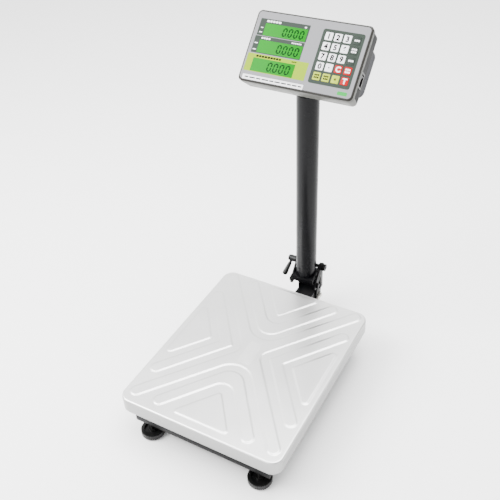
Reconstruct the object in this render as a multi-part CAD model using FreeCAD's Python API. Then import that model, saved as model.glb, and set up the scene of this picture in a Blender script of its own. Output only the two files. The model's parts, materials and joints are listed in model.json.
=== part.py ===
"""Platform weighing scale with a folding column and a tilting indicator head.

Frame: +X to the user's right, +Y towards the column, +Z up, the floor at z = 0.
The origin is the centre of the whole scale's footprint, on the floor.
"""
import FreeCAD
import Part
import math
import os

V = FreeCAD.Vector
X_AXIS, Z_AXIS = V(1, 0, 0), V(0, 0, 1)

# Platter: the pressed steel cover that the load stands on
PLATTER_W, PLATTER_D = 400.0, 490.0
PLATTER_TOP = 120.0
SKIRT_H = 37.3
SHEET_T = 1.2
CORNER_R = 27.0
RIM_R = 4.0

# Pressed ribs of the platter: an X, four V shapes and four triangles
RIB_H = 1.6
RIB_HALF_W = 13.2
RIB_SLOPE = math.radians(52.8)
PRESS_CENTRE_Y = 6.0
X_END = (172.0, 216.0)
X_SIDE_APEX, X_END_APEX = 21.0, 16.7
X_SIDE_R, X_END_R = 27.0, 51.0
END_V_TIP, END_V_INNER_R, END_V_OUTER_R = (110.5, 215.0), 30.0, 35.0
SIDE_V_TIP, SIDE_V_INNER_R, SIDE_V_OUTER_R = (172.0, 139.0), 5.0, 5.0
END_TRI_APEX, END_TRI_BASE, END_TRI_R = 136.0, 229.0, 6.0
SIDE_TRI_APEX, SIDE_TRI_BASE, SIDE_TRI_R = 108.0, 183.0, 8.0

# Base frame of rectangular tube
FRAME_X, FRAME_Y = 171.0, 229.5
FRAME_Z0, FRAME_Z1 = 42.0, 76.0
TUBE_W, TUBE_T = 30.0, 2.5
CROSS_HALF, CROSS_Z1 = 45.0, 60.0
SPINE_HALF = 23.5

# Load cell and the frame that carries the platter
CELL_L, CELL_W, CELL_H = 130.0, 40.0, 26.0
SPACER_L, SPACER_T = 40.0, 4.0
CARRIER_X, CARRIER_Y, CARRIER_TUBE = 165.0, 205.0, 22.0
CARRIER_Z1 = 112.0
CARRIER_BAR = 30.0
BUFFER_R = 11.0
BOLT_M6, BOLT_M8 = 3.0, 4.0

# Levelling feet
FOOT_X, FOOT_Y = 139.5, 216.0
FOOT_R, FOOT_Z0, FOOT_Z1 = 27.5, 2.8, 15.5
STUD_R, STUD_TOP = 5.0, 72.0
FIT = 0.05
PAD_R, PAD_T = 24.0, 2.5
KNURLS, KNURL_R = 36, 1.4

# Column, its lower post and the fold hinge
COL_Y = 306.0
COL_R, COL_WALL = 26.0, 2.5
COL_TOP, CAP_T = 644.0, 2.0
POST_HALF, POST_T = 27.0, 3.0
POST_Y0, POST_Y1 = COL_Y + 9.0, COL_Y + 37.0
POST_TOP = PLATTER_TOP - 25.0
FOLD_Y, FOLD_Z = COL_Y + 21.0, PLATTER_TOP + 34.0
PIVOT_R = 5.0
EAR_IN, EAR_T = 31.5, 4.0
EAR_TIP_Y, EAR_TIP_Z = COL_Y - 13.0, PLATTER_TOP - 6.0
EAR_LEG_Y0, EAR_LEG_Y1 = COL_Y + 14.0, COL_Y + 27.0
EAR_STEP_Z0, EAR_STEP_Z1 = 86.0, 94.0
CHEEK_OUT, CHEEK_T = 30.5, 3.0
SHOE_Y0, SHOE_Y1 = COL_Y - 28.0, COL_Y + 27.0
SHOE_Z, LIP_Z = PLATTER_TOP + 18.0, PLATTER_TOP + 6.0
LEVER_DIR, GRIP_R = V(-8, -28, -32), 7.0

# Head: local x to the right, local y up the face, local z out of the face
FACE_Y, FACE_Z = COL_Y - 24.35, PLATTER_TOP + 623.6
FACE_LEAN = 43.3
HEAD_HALF_W, HEAD_HALF_H = 130.7, 79.1
HEAD_CORNER_R = 10.0
FRONT_DEPTH = 12.0
CHAMFER = 2.5
APRON_TOP, APRON_TAPER = -67.5, 3.0
FILM_INSET = 4.2
REAR_Z = -46.0
HOUSING_HALF_W, HOUSING_Y0, HOUSING_Y1, HOUSING_Z = 125.0, -50.0, 58.0, -88.0
HOUSING_R = 13.0
WALL = 2.5
JOINT_GAP = 0.3
TILT_Y, TILT_Z = -61.4, -61.1
TILT_R = 4.0
KNOB_R, LOBE_R = 9.4, 3.0
LUG_HALF, LUG_R = 21.5, 8.0
REAR_EDGE_R = 5.0
INLET_R = 5.9

# Face layout, in head coordinates: x0, x1, y0, y1
LCD_RECTS = ((-104.0, -5.3, 23.7, 50.7), (-106.3, -5.0, -14.2, 13.7), (-108.0, -9.3, -55.1, -26.3))
KEY_COLS = 4
KEY_X0, KEY_Y0, KEY_DX, KEY_DY = 42.8, 44.2, 20.45, 21.35
KEY_W, KEY_H, KEY_PROUD, KEY_DEEP, KEY_GAP = 16.2, 16.6, 1.0, 4.0, 0.35
KEY_NAMES = ("1", "2", "3", "print", "4", "5", "6", "total", "7", "8", "9", "change",
             "0", "point", "clear", "zero", "memory_1", "memory_2", "light", "tare")
FILM_T = 0.5
SWITCH_Y, SWITCH_Z, SWITCH_L, SWITCH_W = -27.5, -22.0, 33.0, 20.0
ROCKER_TILT = 8.0


def box(x0, x1, y0, y1, z0, z1):
    """A box between two opposite corners."""
    return Part.makeBox(x1 - x0, y1 - y0, z1 - z0, V(x0, y0, z0))


def rod(radius, start, end):
    """A round bar between two points."""
    return Part.makeCylinder(radius, (end - start).Length, start, end - start)


def fuse(shapes):
    """One solid from overlapping shapes."""
    shapes = list(shapes)
    return shapes[0].multiFuse(shapes[1:]).removeSplitter()


def mirrored(shapes):
    """The shapes and their mirror images across the plane x = 0."""
    return shapes + [s.mirror(V(0, 0, 0), X_AXIS) for s in shapes]


def rounded_box(x0, x1, y0, y1, z0, z1, radius):
    """A box whose four upright edges are rounded."""
    solid = box(x0, x1, y0, y1, z0, z1)
    upright = [e for e in solid.Edges if abs(e.tangentAt(e.FirstParameter).z) > 0.99]
    return solid.makeFillet(radius, upright)


def round_edges(solid, radius, keep):
    """Round the edges whose bounding box passes the test keep."""
    return solid.makeFillet(radius, [e for e in solid.Edges if keep(e.BoundBox)])


def hexagon(across_flats, height, centre, direction):
    """A hexagonal prism that starts at centre and runs along direction."""
    ring = [V(across_flats / math.sqrt(3) * math.cos(k * math.pi / 3),
              across_flats / math.sqrt(3) * math.sin(k * math.pi / 3), 0) for k in range(7)]
    prism = Part.Face(Part.makePolygon(ring)).extrude(V(0, 0, height))
    prism.Placement = FreeCAD.Placement(centre, FreeCAD.Rotation(Z_AXIS, direction))
    return prism


def hull_plate(circles, x0, x1):
    """A plate across X whose outline wraps round circles given as (y, z, radius)."""
    parts = [Part.makeCylinder(r, x1 - x0, V(x0, y, z), X_AXIS) for y, z, r in circles]
    for (y0, z0, r0), (y1, z1, r1) in zip(circles, circles[1:]):
        along = math.atan2(z1 - z0, y1 - y0)
        spread = math.acos((r0 - r1) / math.hypot(y1 - y0, z1 - z0))
        points = []
        for y, z, r, sides in ((y0, z0, r0, (1, -1)), (y1, z1, r1, (-1, 1))):
            points += [V(x0, y + r * math.cos(along + s * spread), z + r * math.sin(along + s * spread))
                       for s in sides]
        parts.append(Part.Face(Part.makePolygon(points + points[:1])).extrude(V(x1 - x0, 0, 0)))
    return fuse(parts)


def rounded_outline(corners):
    """A closed flat face whose corners (x, y, radius) are rounded by tangent arcs."""
    edges, joints = [], []
    count = len(corners)
    for k in range(count):
        x, y, radius = corners[k]
        here = V(x, y, 0)
        before = (V(*corners[k - 1][:2], 0) - here).normalize()
        after = (V(*corners[(k + 1) % count][:2], 0) - here).normalize()
        half = before.getAngle(after) / 2
        reach = radius / math.tan(half)
        bisector = (before + after).normalize()
        middle = here + bisector * (radius / math.sin(half) - radius)
        joints.append((here + before * reach, middle, here + after * reach))
    for k in range(count):
        start, middle, end = joints[k]
        edges.append(Part.Arc(start, middle, end).toShape())
        following = joints[(k + 1) % count][0]
        if (following - end).Length > 1e-6:
            edges.append(Part.makeLine(end, following))
    return Part.Face(Part.Wire(Part.__sortEdges__(edges)))


def raised(face, height, quarter_turns=0):
    """A raised rib from a flat outline about the pressing centre, with sloping sides."""
    solid = face.extrude(V(0, 0, height + SHEET_T / 2))
    solid = round_edges(solid, height * 0.45, lambda b: b.ZMin > height + SHEET_T / 2 - 1e-3)
    solid.rotate(V(0, 0, 0), Z_AXIS, 90 * quarter_turns)
    solid.translate(V(0, PRESS_CENTRE_Y, PLATTER_TOP - SHEET_T / 2))
    return solid


def v_outline(tip, inner_r, outer_r):
    """A V-shaped band about +Y with round tips at (+-x, y)."""
    x, y = tip
    rise = math.tan(RIB_SLOPE)
    step = RIB_HALF_W / math.cos(RIB_SLOPE)
    along = V(math.cos(RIB_SLOPE), math.sin(RIB_SLOPE), 0)
    across = V(along.y, -along.x, 0) * RIB_HALF_W
    end = V(x, y, 0)
    low, high = end + across, end - across
    cap = RIB_HALF_W * 0.985
    corners = [(0, y - x * rise - step, outer_r)]
    for point in (low + along * RIB_HALF_W, high + along * RIB_HALF_W):
        corners.append((point.x, point.y, cap))
    corners.append((0, y - x * rise + step, inner_r))
    for point in (high + along * RIB_HALF_W, low + along * RIB_HALF_W):
        corners.append((-point.x, point.y, cap))
    return rounded_outline(corners)


def x_outline():
    """The X-shaped band, with a round tip at each corner of the platter."""
    along = V(math.cos(RIB_SLOPE), math.sin(RIB_SLOPE), 0)
    across = V(along.y, -along.x, 0) * RIB_HALF_W
    end = V(*X_END, 0) + along * RIB_HALF_W
    low, high = end + across, end - across
    cap = RIB_HALF_W * 0.985
    quarter = [(X_SIDE_APEX, 0, X_SIDE_R), (low.x, low.y, cap), (high.x, high.y, cap)]
    top = [(0, X_END_APEX, X_END_R)]
    left = [(-x, y, r) for x, y, r in reversed(quarter)]
    lower = [(x, -y, r) for x, y, r in reversed(left[:2])]
    right = [(-x, y, r) for x, y, r in reversed(lower)]
    return rounded_outline(quarter + top + left + lower + [(0, -X_END_APEX, X_END_R)] + right)


def triangle_outline(apex, base, radius, slope):
    """A triangle with its apex towards the centre and its base along the rim."""
    half = (base - apex) * slope
    return rounded_outline([(0, apex, radius), (half, base, radius), (-half, base, radius)])


def platter_cover():
    """The pressed cover: a shallow tray upside down, with ribs on its top."""
    half_w, half_d = PLATTER_W / 2, PLATTER_D / 2
    bottom = PLATTER_TOP - SKIRT_H
    outer = rounded_box(-half_w, half_w, -half_d, half_d, bottom, PLATTER_TOP, CORNER_R)
    outer = round_edges(outer, RIM_R, lambda b: b.ZMin > PLATTER_TOP - 1e-3)
    inner = rounded_box(-half_w + SHEET_T, half_w - SHEET_T, -half_d + SHEET_T, half_d - SHEET_T,
                        bottom - 1, PLATTER_TOP - SHEET_T, CORNER_R - SHEET_T)
    inner = round_edges(inner, RIM_R - SHEET_T, lambda b: b.ZMin > PLATTER_TOP - SHEET_T - 1e-3)
    rise = math.tan(RIB_SLOPE)
    end_tri = triangle_outline(END_TRI_APEX, END_TRI_BASE, END_TRI_R, 1 / rise)
    side_tri = triangle_outline(SIDE_TRI_APEX, SIDE_TRI_BASE, SIDE_TRI_R, rise)
    end_v = v_outline(END_V_TIP, END_V_INNER_R, END_V_OUTER_R)
    ribs = [raised(x_outline(), RIB_H)]
    for turns in (0, 2):
        ribs += [raised(end_v, RIB_H, turns), raised(end_tri, RIB_H, turns)]
        ribs += [raised(side_v_outline(), RIB_H, turns), raised(side_tri, RIB_H, turns + 1)]
    return fuse([outer.cut(inner)] + ribs)


def side_v_outline():
    """A V-shaped band that opens towards +X."""
    x, y = SIDE_V_TIP
    along = V(math.cos(RIB_SLOPE), math.sin(RIB_SLOPE), 0)
    across = V(along.y, -along.x, 0) * RIB_HALF_W
    end = V(x, y, 0) + along * RIB_HALF_W
    low, high = end + across, end - across
    cap = RIB_HALF_W * 0.985
    step = RIB_HALF_W / math.sin(RIB_SLOPE)
    middle = x - y / math.tan(RIB_SLOPE)
    return rounded_outline([(middle - step, 0, SIDE_V_OUTER_R), (high.x, high.y, cap), (low.x, low.y, cap),
                            (middle + step, 0, SIDE_V_INNER_R), (low.x, -low.y, cap), (high.x, -high.y, cap)])


def rect_tube(x0, x1, y0, y1, z0, z1, axis):
    """A rectangular tube along X or Y, open at its ends."""
    t = TUBE_T
    if axis == "x":
        return box(x0, x1, y0, y1, z0, z1).cut(box(x0, x1, y0 + t, y1 - t, z0 + t, z1 - t))
    return box(x0, x1, y0, y1, z0, z1).cut(box(x0 + t, x1 - t, y0, y1, z0 + t, z1 - t))


def foot_places():
    """The four feet: name ending and centre."""
    return [(name, V(sx * FOOT_X, sy * FOOT_Y, 0)) for name, sx, sy in
            (("front_left", -1, -1), ("front_right", 1, -1), ("rear_left", -1, 1), ("rear_right", 1, 1))]


def base_frame():
    """The welded frame: a rectangle of tube, a cross member and a rear spine for the post."""
    fx, fy, w, z0, z1 = FRAME_X, FRAME_Y, TUBE_W, FRAME_Z0, FRAME_Z1
    parts = [rect_tube(-fx, fx, -fy, -fy + w, z0, z1, "x"), rect_tube(-fx, fx, fy - w, fy, z0, z1, "x")]
    parts += mirrored([rect_tube(fx - w, fx, -fy + w, fy - w, z0, z1, "y")])
    parts += mirrored([box(fx - TUBE_T, fx, -fy, fy, z0, z1)])
    parts.append(box(-fx + w - TUBE_T, fx - w + TUBE_T, -CROSS_HALF, CROSS_HALF, z0, CROSS_Z1))
    parts.append(rect_tube(-SPINE_HALF, SPINE_HALF, fy - TUBE_T, POST_Y1 - POST_T, z0, z1, "y"))
    frame = fuse(parts)
    holes = [rod(STUD_R + FIT, c + V(0, 0, z0 - 1), c + V(0, 0, z1 - 1.5 * TUBE_T)) for _, c in foot_places()]
    holes += [rod(BOLT_M6, V(x, y, z0 - 1), V(x, y, CROSS_Z1 + 1)) for x, y in cell_bolt_places(-1)]
    holes += [rod(BOLT_M8, V(-SPINE_HALF - 1, y, z), V(SPINE_HALF + 1, y, z)) for y, z in post_bolt_places()]
    holes += [rod(BOLT_M8, V(x, y, CROSS_Z1), V(x, y, z1 + 1)) for x, y in stop_places()]
    return frame.cut(holes)


def cell_bolt_places(side):
    """The two bolts at one end of the load cell; side is -1 on the base, 1 on the carrier."""
    return [(side * (CELL_L / 2 - SPACER_L / 2), y) for y in (-11.0, 11.0)]


def post_bolt_places():
    """The two cross bolts that hold the post to the frame's spine, as (y, z)."""
    return [(POST_Y0 + 6, 49.0), (POST_Y0 + 19, 49.0)]


def stop_places():
    """The four overload stops, on the side tubes."""
    return [(x, y) for x in (-FRAME_X + 22, FRAME_X - 22) for y in (-150.0, 150.0)]


def cell_z():
    """The height of the load cell's underside."""
    return CROSS_Z1 + SPACER_T


def load_cell():
    """A single-point aluminium load cell with its double-hole flexure."""
    z0 = cell_z()
    body = box(-CELL_L / 2, CELL_L / 2, -CELL_W / 2, CELL_W / 2, z0, z0 + CELL_H)
    mid = z0 + CELL_H / 2
    cuts = [rod(8.5, V(x, -CELL_W, mid), V(x, CELL_W, mid)) for x in (-13.0, 13.0)]
    cuts.append(box(-13, 13, -CELL_W, CELL_W, mid - 4, mid + 4))
    for side in (-1, 1):
        cuts += [rod(BOLT_M6, V(x, y, z0 - 1), V(x, y, z0 + CELL_H + 1)) for x, y in cell_bolt_places(side)]
    return body.cut(cuts)


def load_cell_spacers():
    """Two plates that keep the cell's free length clear of the frames."""
    lower = box(-CELL_L / 2, -CELL_L / 2 + SPACER_L, -CELL_W / 2, CELL_W / 2, CROSS_Z1, cell_z())
    top = cell_z() + CELL_H
    upper = box(CELL_L / 2 - SPACER_L, CELL_L / 2, -CELL_W / 2, CELL_W / 2, top, top + SPACER_T)
    lower = lower.cut([rod(BOLT_M6, V(x, y, CROSS_Z1 - 1), V(x, y, top)) for x, y in cell_bolt_places(-1)])
    upper = upper.cut([rod(BOLT_M6, V(x, y, top - 1), V(x, y, top + 9)) for x, y in cell_bolt_places(1)])
    return Part.makeCompound([lower, upper])


def bolt_up(x, y, z0, z1, radius, head_below=True):
    """A hexagon-headed bolt along Z between z0 and z1, its head outside that span."""
    shank = rod(radius, V(x, y, z0), V(x, y, z1))
    if head_below:
        head = hexagon(radius * 3.2, radius * 1.3, V(x, y, z0 - radius * 1.3), Z_AXIS)
    else:
        head = hexagon(radius * 3.2, radius * 1.3, V(x, y, z1), Z_AXIS)
    return fuse([shank, head])


def load_cell_bolts():
    """Four bolts: two up from the base, two down through the carrier."""
    top = cell_z() + CELL_H
    lower = [bolt_up(x, y, FRAME_Z0, top - 4, BOLT_M6) for x, y in cell_bolt_places(-1)]
    upper = [bolt_up(x, y, cell_z() + 4, top + SPACER_T + 5, BOLT_M6, False) for x, y in cell_bolt_places(1)]
    return Part.makeCompound(lower + upper)


def carrier_z():
    """The height of the platter carrier's underside."""
    return cell_z() + CELL_H + SPACER_T


def platter_carrier():
    """The frame on the load cell that carries the platter."""
    cx, cy, w, z0, z1 = CARRIER_X, CARRIER_Y, CARRIER_TUBE, carrier_z(), CARRIER_Z1
    parts = [box(-cx, cx, -cy, -cy + w, z0, z1), box(-cx, cx, cy - w, cy, z0, z1)]
    parts += mirrored([box(cx - w, cx, -cy, cy, z0, z1)])
    parts.append(box(-CARRIER_BAR, CARRIER_BAR, -cy, cy, z0, z0 + 5))
    parts.append(box(-cx, cx, -CARRIER_BAR, CARRIER_BAR, z0, z0 + 5))
    frame = fuse(parts)
    return frame.cut([rod(BOLT_M6, V(x, y, z0 - 1), V(x, y, z1)) for x, y in cell_bolt_places(1)])


def platter_buffers():
    """Four rubber buffers under the platter's corners."""
    places = [(x, y) for x in (-CARRIER_X + 11, CARRIER_X - 11) for y in (-CARRIER_Y + 11, CARRIER_Y - 11)]
    return Part.makeCompound([rod(BUFFER_R, V(x, y, CARRIER_Z1), V(x, y, PLATTER_TOP - SHEET_T))
                              for x, y in places])


def overload_stops():
    """Four adjustable stop bolts, their heads just under the carrier."""
    top = carrier_z() - 1.0 - BOLT_M8 * 1.3
    return Part.makeCompound([bolt_up(x, y, FRAME_Z1 - 10, top, BOLT_M8, False) for x, y in stop_places()])


def foot(centre):
    """A levelling foot: a knurled, dished disc moulded on a threaded stud."""
    z0, z1 = FOOT_Z0, FOOT_Z1
    disc = rod(FOOT_R, centre + V(0, 0, z0), centre + V(0, 0, z1))
    disc = round_edges(disc, 1.2, lambda b: b.ZMax - b.ZMin < 1e-3)
    dish = rod(20, centre + V(0, 0, z1 - 5), centre + V(0, 0, z1 + 1))
    dish = dish.cut(rod(9, centre + V(0, 0, z1 - 6), centre + V(0, 0, z1 + 1)))
    grooves = []
    for k in range(KNURLS):
        angle = 2 * math.pi * k / KNURLS
        out = centre + V(FOOT_R + 0.3, 0, 0)
        groove = rod(KNURL_R, out + V(0, 0, z0 - 1), out + V(0, 0, z1 + 1))
        groove.rotate(centre, Z_AXIS, math.degrees(angle))
        grooves.append(groove)
    disc = disc.cut([dish] + grooves)
    stud = rod(STUD_R, centre + V(0, 0, z1 - 6), centre + V(0, 0, STUD_TOP))
    spigot = rod(STUD_R, centre + V(0, 0, 1.0), centre + V(0, 0, z0 + 1))
    return fuse([disc, stud, spigot])


def foot_pad(centre):
    """The non-slip pad that stays still while its foot turns."""
    pad = rod(PAD_R, centre, centre + V(0, 0, PAD_T))
    return pad.cut(rod(STUD_R + FIT, centre + V(0, 0, 0.8), centre + V(0, 0, PAD_T + 1)))


def foot_lock_nuts():
    """A lock nut on each stud, under the frame."""
    nuts = []
    for _, centre in foot_places():
        nut = hexagon(17, 6, centre + V(0, 0, FRAME_Z0 - 6), Z_AXIS)
        nuts.append(nut.cut(rod(STUD_R + FIT, centre + V(0, 0, 30), centre + V(0, 0, 60))))
    return Part.makeCompound(nuts)


def lower_post():
    """The fixed channel that the fold hinge stands on, open to the front, astride the spine."""
    y0, y1, half, t = POST_Y0, POST_Y1, POST_HALF, POST_T
    parts = [box(-half, half, y1 - t, y1, FRAME_Z0, POST_TOP)]
    parts += mirrored([box(half - t, half, y0, y1, FRAME_Z0, POST_TOP)])
    holes = [rod(BOLT_M8, V(-half - 1, y, z), V(half + 1, y, z)) for y, z in post_bolt_places()]
    return fuse(parts).cut(holes)


def post_bolts():
    """Two bolts across the post and the spine, each with its nut."""
    end = POST_HALF
    bolts = []
    for y, z in post_bolt_places():
        shank = rod(BOLT_M8, V(-end, y, z), V(end, y, z))
        bolts.append(fuse([shank] + mirrored([hexagon(13, 5, V(end, y, z), X_AXIS)])))
    return Part.makeCompound(bolts)


def hinge_ears():
    """Two fixed ears that slope up to the fold pivot, stepped in and welded to the post's sides."""
    x0, x1 = EAR_IN, EAR_IN + EAR_T
    inner = POST_HALF
    slope = hull_plate([(FOLD_Y, FOLD_Z, 11.0), (EAR_TIP_Y, EAR_TIP_Z, 10.0)], x0, x1)
    web = box(x0, x1, EAR_LEG_Y0, EAR_LEG_Y1, EAR_STEP_Z0, FOLD_Z - 15)
    step = box(inner, x1, EAR_LEG_Y0, EAR_LEG_Y1, EAR_STEP_Z0, EAR_STEP_Z1)
    ear = fuse([slope, web, step])
    holes = [rod(PIVOT_R, V(x0 - 1, FOLD_Y, FOLD_Z), V(x1 + 1, FOLD_Y, FOLD_Z)),
             rod(BOLT_M8, V(x0 - 1, EAR_TIP_Y + 3, EAR_TIP_Z), V(x1 + 1, EAR_TIP_Y + 3, EAR_TIP_Z))]
    return Part.makeCompound(mirrored([ear.cut(holes)]))


def hinge_fasteners():
    """A plug bolt at each ear's lower end, and the pivot's nut and washers."""
    end = V(EAR_IN + EAR_T, EAR_TIP_Y + 3, EAR_TIP_Z)
    plugs = mirrored([fuse([rod(BOLT_M8, end - V(EAR_T, 0, 0), end), hexagon(13, 5, end, X_AXIS)])])
    outer = EAR_IN + EAR_T
    start = V(outer, FOLD_Y, FOLD_Z)
    rings = [rod(10.5, start, start + V(1.8, 0, 0)), hexagon(17, 8, start + V(1.8, 0, 0), X_AXIS)]
    rings.append(rod(10.5, V(-outer - 1.8, FOLD_Y, FOLD_Z), V(-outer, FOLD_Y, FOLD_Z)))
    bore = rod(PIVOT_R, V(-60, FOLD_Y, FOLD_Z), V(60, FOLD_Y, FOLD_Z))
    return Part.makeCompound(plugs + [ring.cut(bore) for ring in rings])


def pivot_bolt():
    """The fold pivot: a shank through ears, cheeks, tube and lever, with a head at each end."""
    y, z = FOLD_Y, FOLD_Z
    right = EAR_IN + EAR_T + 1.8
    shank = rod(PIVOT_R, V(-56, y, z), V(right + 8, y, z))
    cap = rod(7.5, V(-59, y, z), V(-55.5, y, z))
    return fuse([shank, cap])


def clamp_lever():
    """The cam lever that clamps the fold hinge: a hub and a tapered handle."""
    y, z = FOLD_Y, FOLD_Z
    hub = rod(8.5, V(-54.8, y, z), V(-EAR_IN - EAR_T - 2.1, y, z))
    start = V(-50, y, z)
    way = V(LEVER_DIR)
    length = way.Length
    way.normalize()
    neck = Part.makeCone(3.9, 3.6, length * 0.4, start, way)
    grip = Part.makeCone(4.6, GRIP_R, length * 0.66, start + way * (length * 0.32), way)
    tip = Part.makeSphere(GRIP_R, start + way * (length * 0.98))
    lever = fuse([hub, neck, grip, tip])
    return lever.cut(rod(PIVOT_R + FIT, V(-60, y, z), V(0, y, z)))


def column_shoe():
    """The moving shoe under the column: a web, a front lip and two cheeks up to the pivot."""
    out, t = CHEEK_OUT, CHEEK_T
    web = box(-out, out, SHOE_Y0, SHOE_Y1, SHOE_Z, SHOE_Z + t)
    lip = box(-out, out, SHOE_Y0, SHOE_Y0 + t, LIP_Z, SHOE_Z + t)
    cheek = hull_plate([(FOLD_Y, FOLD_Z, 10.0), (SHOE_Y0 + 7.0, LIP_Z + 7.0, 7.0)], out - t, out)
    corner = box(out - t, out, SHOE_Y0, SHOE_Y0 + 10, LIP_Z, SHOE_Z + t)
    shoe = fuse([web, lip] + mirrored([cheek, corner]))
    bolt = rod(PIVOT_R + FIT, V(-40, FOLD_Y, FOLD_Z), V(40, FOLD_Y, FOLD_Z))
    return shoe.cut(bolt)


def column_tube():
    """The round column, drilled across for the fold pivot."""
    z0 = SHOE_Z + CHEEK_T
    tube = rod(COL_R, V(0, COL_Y, z0), V(0, COL_Y, COL_TOP))
    tube = tube.cut(rod(COL_R - COL_WALL, V(0, COL_Y, z0 - 1), V(0, COL_Y, COL_TOP + 1)))
    return tube.cut(rod(PIVOT_R + FIT, V(-40, FOLD_Y, FOLD_Z), V(40, FOLD_Y, FOLD_Z)))


def place_head(shape):
    """Move a shape from head coordinates to the scale's frame."""
    moved = shape.copy()
    turn = FreeCAD.Placement(V(0, FACE_Y, FACE_Z), FreeCAD.Rotation(X_AXIS, 90 - FACE_LEAN))
    moved.Placement = turn.multiply(moved.Placement)
    return moved


def head_point(x, y, z):
    """A point in head coordinates, in the scale's frame."""
    return FreeCAD.Placement(V(0, FACE_Y, FACE_Z), FreeCAD.Rotation(X_AXIS, 90 - FACE_LEAN)).multVec(V(x, y, z))


def key_centre(index):
    """The centre of a key on the face, by reading order."""
    row, col = divmod(index, KEY_COLS)
    return KEY_X0 + col * KEY_DX, KEY_Y0 - row * KEY_DY


def key_block(index, grow, z0, z1):
    """The space of a key, widened by grow on each side."""
    x, y = key_centre(index)
    half_w, half_h = KEY_W / 2 + grow, KEY_H / 2 + grow
    return rounded_box(x - half_w, x + half_w, y - half_h, y + half_h, z0, z1, 1.5 + grow)


def lcd_block(rect, grow, z0, z1):
    """The space of a display, widened by grow on each side."""
    x0, x1, y0, y1 = rect
    return box(x0 - grow, x1 + grow, y0 - grow, y1 + grow, z0, z1)


def face_section(inset, z):
    """A rounded rectangle of the head's outline at depth z, drawn in by inset."""
    w, h = HEAD_HALF_W - inset, HEAD_HALF_H - inset
    r = HEAD_CORNER_R
    face = rounded_outline([(-w, -h, r), (w, -h, r), (w, h, r), (-w, h, r)])
    face.translate(V(0, 0, z))
    return face.OuterWire


def head_loft(inset, top_z):
    """The front shell's body, with a chamfered rim."""
    rims = ((CHAMFER, 0.0), (0.0, -CHAMFER), (0.0, -FRONT_DEPTH))
    wires = [face_section(i + inset, z + top_z) for i, z in rims]
    return fuse([Part.makeLoft(list(pair), True, True) for pair in zip(wires, wires[1:])])


def apron():
    """The trough that carries the front shell's lower wall back under the rear shell."""
    outer = [face_section(0.0, -FRONT_DEPTH), face_section(APRON_TAPER, REAR_Z)]
    inner = [face_section(WALL, -FRONT_DEPTH), face_section(WALL + APRON_TAPER, REAR_Z + WALL)]
    trough = Part.makeLoft(outer, True, True).cut(Part.makeLoft(inner, True, True))
    return trough.common(box(-HEAD_HALF_W, HEAD_HALF_W, -HEAD_HALF_H, APRON_TOP, REAR_Z, -FRONT_DEPTH))


def head_front_shell():
    """The front shell with its apron, windows for the displays and holes for the keys."""
    shell = head_loft(0.0, 0.0).cut(head_loft(WALL, -WALL - 0.5)).fuse(apron())
    holes = [lcd_block(rect, 0.0, -20, 1) for rect in LCD_RECTS]
    holes += [key_block(k, KEY_GAP, -20, 1) for k in range(len(KEY_NAMES))]
    return place_head(shell.cut(holes))


def head_rear_shell():
    """The dark rear shell with the tilt lug under its housing."""
    top = -FRONT_DEPTH
    w, h = HEAD_HALF_W - 1.5, HEAD_HALF_H - 1.5
    low = APRON_TOP + JOINT_GAP
    outer = box(-w, w, low, h, REAR_Z, top)
    outer = round_edges(outer, HEAD_CORNER_R, lambda b: b.YMin > h - 1e-3 and b.XMax - b.XMin < 1e-3)
    outer = round_edges(outer, REAR_EDGE_R, lambda b: b.ZMax < REAR_Z + 1e-3)
    inner = box(-w + WALL, w - WALL, low + WALL, h - WALL, REAR_Z + WALL, top + 1)
    inner = round_edges(inner, HEAD_CORNER_R - WALL, lambda b: b.YMin > h - WALL - 1e-3 and b.XMax - b.XMin < 1e-3)
    lug = [box(-LUG_HALF, LUG_HALF, TILT_Y - LUG_R, TILT_Y + LUG_R, TILT_Z, REAR_Z - JOINT_GAP),
           box(-LUG_HALF, LUG_HALF, low + REAR_EDGE_R, TILT_Y + LUG_R, TILT_Z, REAR_Z + WALL),
           rod(LUG_R, V(-LUG_HALF, TILT_Y, TILT_Z), V(LUG_HALF, TILT_Y, TILT_Z))]
    shell = fuse([outer.cut(inner)] + lug)
    cable = box(-60, 60, -30, 30, REAR_Z - 1, REAR_Z + WALL + 1)
    bore = rod(TILT_R + FIT, V(-40, TILT_Y, TILT_Z), V(40, TILT_Y, TILT_Z))
    inlet = rod(INLET_R + 0.1, V(-w - 1, SWITCH_Y, SWITCH_Z), V(-w + 9, SWITCH_Y, SWITCH_Z))
    cut = [cable, bore, inlet, switch_block(0.0, w - WALL - 1, w + 1)]
    cut += [rod(2, V(x, y, REAR_Z - 1), V(x, y, REAR_Z + WALL + 1)) for x, y in screw_places()]
    return place_head(shell.cut(cut))


def screw_places():
    """The four case screws on the back of the rear shell."""
    return [(x, y) for x in (-112.0, 112.0) for y in (-57.0, 67.0)]


def case_screws():
    """Four pan-head screws."""
    screws = []
    for x, y in screw_places():
        head = rod(4, V(x, y, REAR_Z - 2), V(x, y, REAR_Z))
        slot = box(x - 3, x + 3, y - 0.5, y + 0.5, REAR_Z - 3, REAR_Z - 1)
        screws.append(place_head(fuse([head, rod(2, V(x, y, REAR_Z), V(x, y, -16))]).cut(slot)))
    return Part.makeCompound(screws)


def rear_housing():
    """The light housing on the back of the head, which holds the battery."""
    w, y0, y1 = HOUSING_HALF_W, HOUSING_Y0, HOUSING_Y1
    outer = rounded_box(-w, w, y0, y1, HOUSING_Z, REAR_Z, 18)
    outer = round_edges(outer, HOUSING_R, lambda b: b.ZMax < HOUSING_Z + 1e-3)
    inner = rounded_box(-w + WALL, w - WALL, y0 + WALL, y1 - WALL, HOUSING_Z + WALL, REAR_Z + 1, 18 - WALL)
    inner = round_edges(inner, HOUSING_R - WALL, lambda b: b.ZMax < HOUSING_Z + WALL + 1e-3)
    return place_head(outer.cut(inner))


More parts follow.
